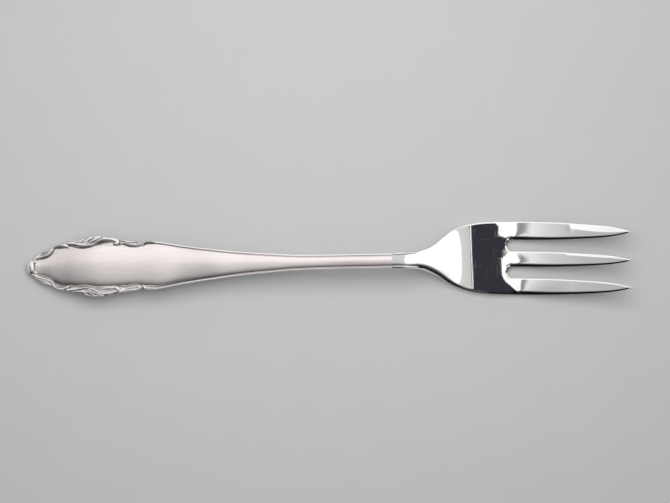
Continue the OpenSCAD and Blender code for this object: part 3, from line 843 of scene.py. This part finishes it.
def head_surface():
    """Places of the head's points seen from above, the tine of each column and the rows before the tines."""
    columns = head_columns()
    place = np.array([c[0] for c in columns])
    offset = np.array([c[1] for c in columns])
    tine = np.array([c[2] for c in columns])
    body_s = np.concatenate([
        JOINT_ROWS, rising(BODY_START, SHOULDER_LENGTH - ROOT_ROWS_START, BODY_STEP),
        SHOULDER_LENGTH - np.array(before_root),
    ])
    pull = smooth(SHOULDER_LENGTH - ROOT_BEND, SHOULDER_LENGTH, body_s)
    body_x = body_s[:, None] + pull[:, None] * offset[None, :]
    share = place / HEAD_W + 0.5
    low, high = head_edges(body_s)
    body_y = mix(low[:, None], high[:, None], share[None, :])
    tine_u = np.concatenate([rising(0, TIP_SHARE, TINE_STEP_SHARE), np.linspace(TIP_SHARE, 1, TIP_ROWS)])[1:]
    start = SHOULDER_LENGTH + offset[None, :]
    tine_x = mix(start, HEAD_LENGTH, tine_u[:, None])
    from_middle = place - np.array(TINE_MIDDLES)[tine]
    root_half = np.array(TINE_HALVES)[tine]
    tine_y = tine_middle(tine, tine_x) + from_middle * tine_half(tine, tine_x) / root_half
    x = np.concatenate([body_x, tine_x])
    y = np.concatenate([body_y, tine_y])
    return x, y, tine, len(body_s)


def head_edge_distance(x, y, tine, body_rows):
    """Distance inwards from the outline of the head, its slots included, and which edge is nearest: 1 for
    one that faces the cutting side, -1 for one that faces away from it and 0 for the root of a slot."""
    low, high = head_edges(x)
    step = 0.05
    low_slope = (head_edges(x + step)[0] - low) / step
    high_slope = (head_edges(x + step)[1] - high) / step
    to_low, to_high = (y - low) / np.sqrt(1 + low_slope**2), (high - y) / np.sqrt(1 + high_slope**2)
    d = np.minimum(to_low, to_high)
    edge = np.where(to_high < to_low, 1.0, -1.0)
    for middle in SLOT_MIDDLES:
        away = np.hypot(x - SHOULDER_LENGTH - SLOT_R, y - middle)
        at_root = (x < SHOULDER_LENGTH + SLOT_R) & (away - SLOT_R < d)
        facing = (y - middle) / np.maximum(away, LEAST_AWAY)
        edge = np.where(at_root, smooth(*ROOT_TURN_FAR, -facing) - smooth(*ROOT_TURN_NEAR, facing), edge)
        d = np.where(at_root, away - SLOT_R, d)
    middle = tine_middle(tine, x)
    across = np.minimum(tine_half(tine, x) - np.abs(y - middle), HEAD_LENGTH - x)
    on_tine = np.zeros(x.shape, bool)
    on_tine[body_rows - 1 :] = True
    on_tine &= x >= SHOULDER_LENGTH + SLOT_R - ROUNDING_ERROR
    return np.maximum(np.where(on_tine, across, d), 0), np.where(on_tine, np.sign(y - middle), edge)


def head_fall(x, y, d, edge, thickness_share):
    """How far the edges lie below the top: the dome of the neck and the rounding of the edges."""
    narrow = tine_half(MIDDLE_TINE, x)
    most = thickness_share * head_t(x)
    rounded = np.zeros_like(x)
    for width, depth, power, share in (
        (curve(near_edge, x, 1), curve(near_edge, x, 2), curve(near_edge, x, 3), np.clip(-edge, 0, 1)),
        (*FAR_EDGE, 2, np.clip(edge, 0, 1)),
        (*ROOT_EDGE, 1, np.minimum(1, 2 - 2 * np.abs(edge))),
    ):
        fall = share * np.minimum(depth, most) * np.clip(1 - d / np.minimum(width, narrow), 0, 1) ** power
        rounded = np.maximum(rounded, fall)
    u = np.clip(np.abs(y) / STEM_PANEL, 0, 1)
    panel = STEM_CROWN * ((1 - EDGE_FALL) * u**2 + EDGE_FALL * u**8)
    return mix(rounded, panel + edge_rounding(d) * NECK_ROUNDING_SHARE, 1 - smooth(*NECK_FADE, x))


def root_fall(x, y):
    """Soft fall of the blade towards the roots of the slots."""
    result = np.zeros_like(x)
    for middle, (reach, depth) in zip(SLOT_MIDDLES, ROOT_FALLS):
        away = np.hypot(np.minimum(x - SHOULDER_LENGTH - SLOT_R, 0), y - middle) - SLOT_R
        result = np.maximum(result, depth * np.clip(1 - away / reach, 0, 1) ** 2)
    return result * (1 - smooth(SHOULDER_LENGTH + SLOT_R, ROOT_FALL_END, x))


def bevel_fall(x, y, tine):
    """Depth of the ground bevel along the cutting side of each tine, less the swelling where it starts."""
    half = tine_half(tine, x)
    edge = tine_middle(tine, x) + half
    start = np.array(BEVEL_STARTS)[tine]
    shares = np.array(BEVEL_SHARES)[tine]
    width = 2 * half * mix(shares[..., 0], shares[..., 1], smooth(0, BEVEL_GROWTH, x - start))
    run_in = smooth(start, start + BEVEL_RUN_IN, x)
    away = np.hypot(x - start, y - edge + width) / SWELLING_R
    swelling = SWELLING_H * np.exp(-(away**2)) * (tine == CUTTING_TINE)
    return math.tan(BEVEL_TILT) * np.maximum(0, y - edge + width) * run_in * (tine >= 0) - swelling


def make_head(material):
    """Three tines, blade, shoulders, neck and tang in one piece."""
    x, y, tine, body_rows = head_surface()
    d, edge = head_edge_distance(x, y, tine, body_rows)
    t = head_t(x)
    top_z = top_surface(x, y) - head_fall(x, y, d, edge, ROUNDING_SHARES[0])
    top_z -= root_fall(x, y) + bevel_fall(x, y, tine)
    bottom_z = top_profile(x) - t + head_fall(x, y, d, edge, ROUNDING_SHARES[1])
    bottom_z -= lag_fall(x, y) * smooth(*UNDERSIDE_LAG, x)
    head_x = x + HANDLE_LENGTH - FORK_LENGTH / 2
    # The tang, from its end to the joint, on the same columns
    columns = x.shape[1]
    tang_q = 1 - TANG_LENGTH / HANDLE_LENGTH * np.linspace(1, 0, TANG_ROWS)
    shrink = mix(1, TANG_END_SHARE, (1 - tang_q) * HANDLE_LENGTH / TANG_LENGTH)
    half_w = (STEM_W / 2 - BEAD_W - GROOVE_W / 2 - FILLER_WALL - TANG_GAP) * shrink
    half_t = (NECK_T / 2 - SHELL_WALL - FILLER_GAP - FILLER_WALL - TANG_GAP) * shrink
    angle = np.radians(np.linspace(TANG_SIDE_ANGLE, 180 - TANG_SIDE_ANGLE, columns))
    tang_x = np.repeat((tang_q * HANDLE_LENGTH - FORK_LENGTH / 2)[:, None], columns, 1)
    tang_y = -half_w[:, None] * np.cos(angle)
    lift = half_t[:, None] * np.sin(angle)
    tang_z = seam_z(tang_q)[:, None]
    head_x = np.concatenate([tang_x, head_x])
    head_y = np.concatenate([tang_y, y])
    layers = [
        np.column_stack([head_x.ravel(), head_y.ravel(), np.concatenate([tang, z]).ravel()])
        for tang, z in ((tang_z + lift, top_z), (tang_z - lift, bottom_z))
    ]
    rows = head_x.shape[0]
    first_tine_row = len(tang_q) + body_rows - 1
    solid = np.ones((rows - 1, columns - 1), bool)
    joined = (tine[:-1] == tine[1:]) & (tine[:-1] >= 0)
    solid[first_tine_row:, ~joined] = False
    index = np.arange(rows * columns).reshape(rows, columns)
    below = rows * columns
    quads = grid_faces(rows, columns).reshape(rows - 1, columns - 1, 4)[solid]
    walls = []
    padded = np.pad(solid, 1)
    for r, c in zip(*np.nonzero(solid)):
        a, b, e, f = index[r, c], index[r + 1, c], index[r + 1, c + 1], index[r, c + 1]
        if not padded[r + 1, c]:
            walls.append((b, a, a + below, b + below))
        if not padded[r + 1, c + 2]:
            walls.append((f, e, e + below, f + below))
        if not padded[r, c + 1]:
            walls.append((a, f, f + below, a + below))
        if not padded[r + 2, c + 1]:
            walls.append((e, b, b + below, e + below))
    faces = [quads, quads[:, ::-1] + below, np.array(walls)]
    used = np.unique(np.concatenate(faces))
    renumber = np.zeros(2 * below, int)
    renumber[used] = np.arange(len(used))
    points = np.concatenate(layers)[used]
    faces = [renumber[f] for f in faces]
    piece = make_piece("head_polished", points, faces, material, HEAD_SHARP)
    away = np.concatenate([np.full(tang_x.size, OUT_OF_REACH), d.ravel()])
    fade = 1 - smooth(*RIM_END, x)
    sides = [np.concatenate([np.zeros(tang_x.size), side * fade.ravel()]) for side in (1, -1)]
    store(piece, "edge_distance", np.concatenate([away, away])[used] * MM)
    store(piece, "rim_side", np.concatenate(sides)[used])
    return piece


def rim_tree():
    """Geometry nodes that press the rim bead and the groove beside it along the edge of a piece."""
    tree = bpy.data.node_groups.new("pressed_rim", "GeometryNodeTree")
    sizes = (
        "Bead centre", "Bead half width", "Bead height",
        "Groove centre", "Groove half width", "Groove depth",
    )
    tree.interface.new_socket("Piece", in_out="INPUT", socket_type="NodeSocketGeometry")
    for name in sizes:
        tree.interface.new_socket(name, in_out="INPUT", socket_type="NodeSocketFloat")
    tree.interface.new_socket("Finish", in_out="INPUT", socket_type="NodeSocketMaterial")
    tree.interface.new_socket("Piece", in_out="OUTPUT", socket_type="NodeSocketGeometry")
    given = add(tree, "NodeGroupInput")
    away = add(tree, "GeometryNodeInputNamedAttribute", {"Name": "edge_distance"}, data_type="FLOAT")
    side = add(tree, "GeometryNodeInputNamedAttribute", {"Name": "rim_side"}, data_type="FLOAT")

    def maths(operation, a, b):
        return add(tree, "ShaderNodeMath", {0: a, 1: b}, operation=operation).outputs[0]

    def pressed(line):
        """A rounded ridge of height 1 along the edge."""
        off = maths("SUBTRACT", away.outputs[0], given.outputs[line + " centre"])
        share = maths("DIVIDE", off, given.outputs[line + " half width"])
        hill = maths("MAXIMUM", maths("SUBTRACT", 1, maths("POWER", maths("ABSOLUTE", share, 0), 2)), 0)
        return maths("POWER", hill, LINE_POWER)

    raised = maths("MULTIPLY", pressed("Bead"), given.outputs["Bead height"])
    sunk = maths("MULTIPLY", pressed("Groove"), given.outputs["Groove depth"])
    lift = maths("MULTIPLY", maths("SUBTRACT", raised, sunk), side.outputs[0])
    offset = add(tree, "ShaderNodeCombineXYZ", {"Z": lift})
    moved = add(
        tree, "GeometryNodeSetPosition",
        {"Geometry": given.outputs["Piece"], "Offset": offset.outputs[0]},
    )
    realized = add(tree, "GeometryNodeRealizeInstances", {"Geometry": moved.outputs[0]})
    finished = add(
        tree, "GeometryNodeSetMaterial",
        {"Geometry": realized.outputs[0], "Material": given.outputs["Finish"]},
    )
    add(tree, "NodeGroupOutput", {0: finished.outputs[0]})
    return tree


def press_rim(piece, tree, material):
    """Presses the rim of a piece and keeps the result as a plain mesh."""
    modifier = piece.modifiers.new("rim", "NODES")
    modifier.node_group = tree
    values = {
        "Bead centre": RIM_BEAD * MM, "Bead half width": RIM_BEAD_HALF * MM, "Bead height": RIM_BEAD_H * MM,
        "Groove centre": RIM_GROOVE * MM, "Groove half width": RIM_GROOVE_HALF * MM,
        "Groove depth": RIM_GROOVE_D * MM,
        "Finish": material,
    }
    for socket in tree.interface.items_tree:
        if socket.item_type == "SOCKET" and socket.name in values:
            modifier[socket.identifier] = values[socket.name]
    shown = piece.evaluated_get(bpy.context.evaluated_depsgraph_get())
    mesh = bpy.data.meshes.new_from_object(shown)
    piece.modifiers.remove(modifier)
    piece.data = mesh


satin = satin_steel()
polished = polished_steel()
cement = cutlers_cement()
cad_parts["handle_filler"].data.materials.clear()
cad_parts["handle_filler"].data.materials.append(cement)

rim = rim_tree()
head = make_head(polished)
press_rim(head, rim, polished)
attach(head, "root")
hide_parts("head")
for name, side in (("handle_front_shell", 1), ("handle_back_shell", -1)):
    shell = make_handle_shell(name + "_pressed", side, satin)
    press_rim(shell, rim, satin)
    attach(shell, "root")
    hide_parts(name)

# Camera straight above, as far as a long lens needs, turned so that the tips lie a little higher in the
# picture. Its scale holds at SCALE_H above the floor, and its middle is MIDDLE_X, MIDDLE_Y
IMAGE_W = 670
PIXELS_PER_MM = 3.908
FORK_TURN = math.radians(1.15)
CAMERA_H = 1.0
SCALE_H = 6 * MM
CAMERA_REACH = 50
LENS = 200
MIDDLE_X, MIDDLE_Y = 1.64 * MM, 2.6 * MM

camera_data = bpy.data.cameras.new("camera")
camera_data.sensor_width = LENS * IMAGE_W / PIXELS_PER_MM * MM / CAMERA_H
camera_data.lens = LENS
camera = bpy.data.objects.new("camera", camera_data)
camera.location = (MIDDLE_X, MIDDLE_Y, CAMERA_H + SCALE_H)
camera.rotation_euler = (0, 0, -FORK_TURN)
camera_data.clip_end = CAMERA_REACH
bpy.context.scene.collection.objects.link(camera)
bpy.context.scene.camera = camera


# Floor: a sheet of smooth pale grey paper
def paper():
    material, tree, output = new_material("grey_studio_paper")
    mottle_w = 12 * MM
    mottle = noise_pattern(tree, (mottle_w, mottle_w, mottle_w), Detail=3)
    colour = add(
        tree, "ShaderNodeMix",
        {"Factor": mottle, 6: hex_colour("#C6C6C6"), 7: hex_colour("#C9C9C9")},
        data_type="RGBA",
    )
    shader = add(
        tree, "ShaderNodeBsdfPrincipled",
        {"Base Color": colour.outputs[2], "Roughness": 0.9, "Specular IOR Level": 0.1},
    )
    tree.links.new(shader.outputs[0], output.inputs["Surface"])
    return material


FLOOR_HALF = 6.0
floor_mesh = bpy.data.meshes.new("floor")
corners = [(x * FLOOR_HALF, y * FLOOR_HALF, 0) for x, y in ((-1, -1), (1, -1), (1, 1), (-1, 1))]
floor_mesh.from_pydata(corners, [], [(0, 1, 2, 3)])
floor_mesh.materials.append(paper())
floor = bpy.data.objects.new("floor", floor_mesh)
bpy.context.scene.collection.objects.link(floor)

# Key light: one large softbox that reaches from straight above the fork down to its far side
KEY_DISTANCE = 0.27
KEY_SIZE = 0.205
KEY_LEAN = math.radians(19)
KEY_POWER = 0.545
key_data = bpy.data.lights.new("key", "AREA")
key_data.shape = "SQUARE"
key_data.size = KEY_SIZE
key_data.energy = KEY_POWER
key = bpy.data.objects.new("key", key_data)
key.location = (0, KEY_DISTANCE * math.sin(KEY_LEAN), KEY_DISTANCE * math.cos(KEY_LEAN))
key.rotation_euler = (-KEY_LEAN, 0, 0)
key.visible_glossy = False
bpy.context.scene.collection.objects.link(key)


# How strongly the room shows in the steel, and how strongly it lights the rest
REFLECTED_STRENGTH, FILL_STRENGTH = 1.3, 0.38
# The small panels straight above lie within INNER_REACH of INNER_MIDDLE, in degrees along the fork
INNER_MIDDLE, INNER_REACH = -3.0, 11.0
# Least upward part of a direction, so that its angles stay below 90 degrees
LEAST_UPWARD = 0.001
DEGREES = 180 / math.pi


def studio():
    """The room: a pale background for the eye, an even fill, and the soft panels that the steel reflects."""
    world = bpy.data.worlds.new("studio")
    world.use_nodes = True
    tree = world.node_tree
    tree.nodes.clear()
    direction = add(tree, "ShaderNodeTexCoord")
    parts = add(tree, "ShaderNodeSeparateXYZ", {0: direction.outputs["Generated"]})

    def maths(operation, a, b=0.0, c=0.0):
        return add(tree, "ShaderNodeMath", {0: a, 1: b, 2: c}, operation=operation).outputs[0]

    def ramp(value, stops, low=-90.0, high=90.0):
        """Level, or colour, that changes with an angle in degrees."""
        share = maths("DIVIDE", maths("SUBTRACT", value, low), high - low)
        node = add(tree, "ShaderNodeValToRGB", {0: share})
        elements = node.color_ramp.elements
        for angle, level in stops:
            element = elements.new((angle - low) / (high - low))
            element.color = level if isinstance(level, tuple) else (level, level, level, 1)
        elements.remove(elements[0])
        elements.remove(elements[-1])
        return node.outputs[0]

    height = maths("MAXIMUM", parts.outputs["Z"], LEAST_UPWARD)
    along = maths("MULTIPLY", maths("ARCTAN2", parts.outputs["X"], height), DEGREES)
    across = maths("MULTIPLY", maths("ARCTAN2", parts.outputs["Y"], height), DEGREES)
    # Panels seen along the fork, from the handle's side over the top to the tips' side: the dark one is the
    # camera's own bluish black
    black = hex_colour("#313138")
    outer = ramp(along, [
        (-89, 0.1), (-45, 0.2), (-30, 0.36), (-26, 0.42), (-21, 0.43), (-19.1, 0.43), (-17.7, 0.46),
        (-15.2, 0.62), (-14, 0.72), (7, 0.55), (23.5, 0.62), (24, 1.0), (66, 1.0), (67.5, 0.05), (89, 0.05),
    ])
    inner = ramp(along, [
        (-13.9, 0.73), (-13.2, 0.78), (-12.3, 0.28), (-10.8, 0.26), (-10.6, 1.0), (-2.2, 1.0), (-2, black),
        (5, black), (5.2, 0.95), (5.8, 0.95), (6, 0.05), (6.5, 0.05), (6.7, 0.55), (7.9, 0.55),
    ], INNER_MIDDLE - INNER_REACH, INNER_MIDDLE + INNER_REACH)
    straight_up = maths("COMPARE", along, INNER_MIDDLE, INNER_REACH)
    panels = add(tree, "ShaderNodeMix", {"Factor": straight_up, 6: outer, 7: inner}, data_type="RGBA")
    # The far side is bright and the near side dark
    near = ramp(across, [
        (-89, 0.02), (-60, 0.02), (-47, 0.12), (-37, 0.24), (-22, 0.82), (-8.5, 0.98), (-8, 1.0), (85, 1.0),
    ])
    above = ramp(across, [(1, 0.0), (6, 1.0), (80, 1.0), (88, 0.7)])
    seen_above = ramp(along, [
        (-89, 0.6), (-26, 0.66), (-14, 1.0), (5, 1.0), (6, 0.6), (23.5, 0.6), (24, 1.0), (88, 1.0),
    ])
    far = maths("MULTIPLY", above, seen_above)
    lit = add(
        tree, "ShaderNodeMix", {"Factor": 1.0, 6: panels.outputs[2], 7: near},
        data_type="RGBA", blend_type="MULTIPLY",
    )
    room = add(
        tree, "ShaderNodeMix", {"Factor": 1.0, 6: lit.outputs[2], 7: far},
        data_type="RGBA", blend_type="LIGHTEN",
    )
    reflected = add(tree, "ShaderNodeBackground", {"Color": room.outputs[2], "Strength": REFLECTED_STRENGTH})
    fill = add(tree, "ShaderNodeBackground", {"Color": (1, 1, 1, 1), "Strength": FILL_STRENGTH})
    seen = add(tree, "ShaderNodeBackground", {"Color": hex_colour("#C8C8C8"), "Strength": 1.0})
    path = add(tree, "ShaderNodeLightPath")
    light = add(
        tree, "ShaderNodeMixShader",
        {0: path.outputs["Is Glossy Ray"], 1: fill.outputs[0], 2: reflected.outputs[0]},
    )
    light_or_view = add(
        tree, "ShaderNodeMixShader",
        {0: path.outputs["Is Camera Ray"], 1: light.outputs[0], 2: seen.outputs[0]},
    )
    add(tree, "ShaderNodeOutputWorld", {"Surface": light_or_view.outputs[0]})
    bpy.context.scene.world = world


studio()
bpy.context.scene.view_settings.view_transform = "Standard"
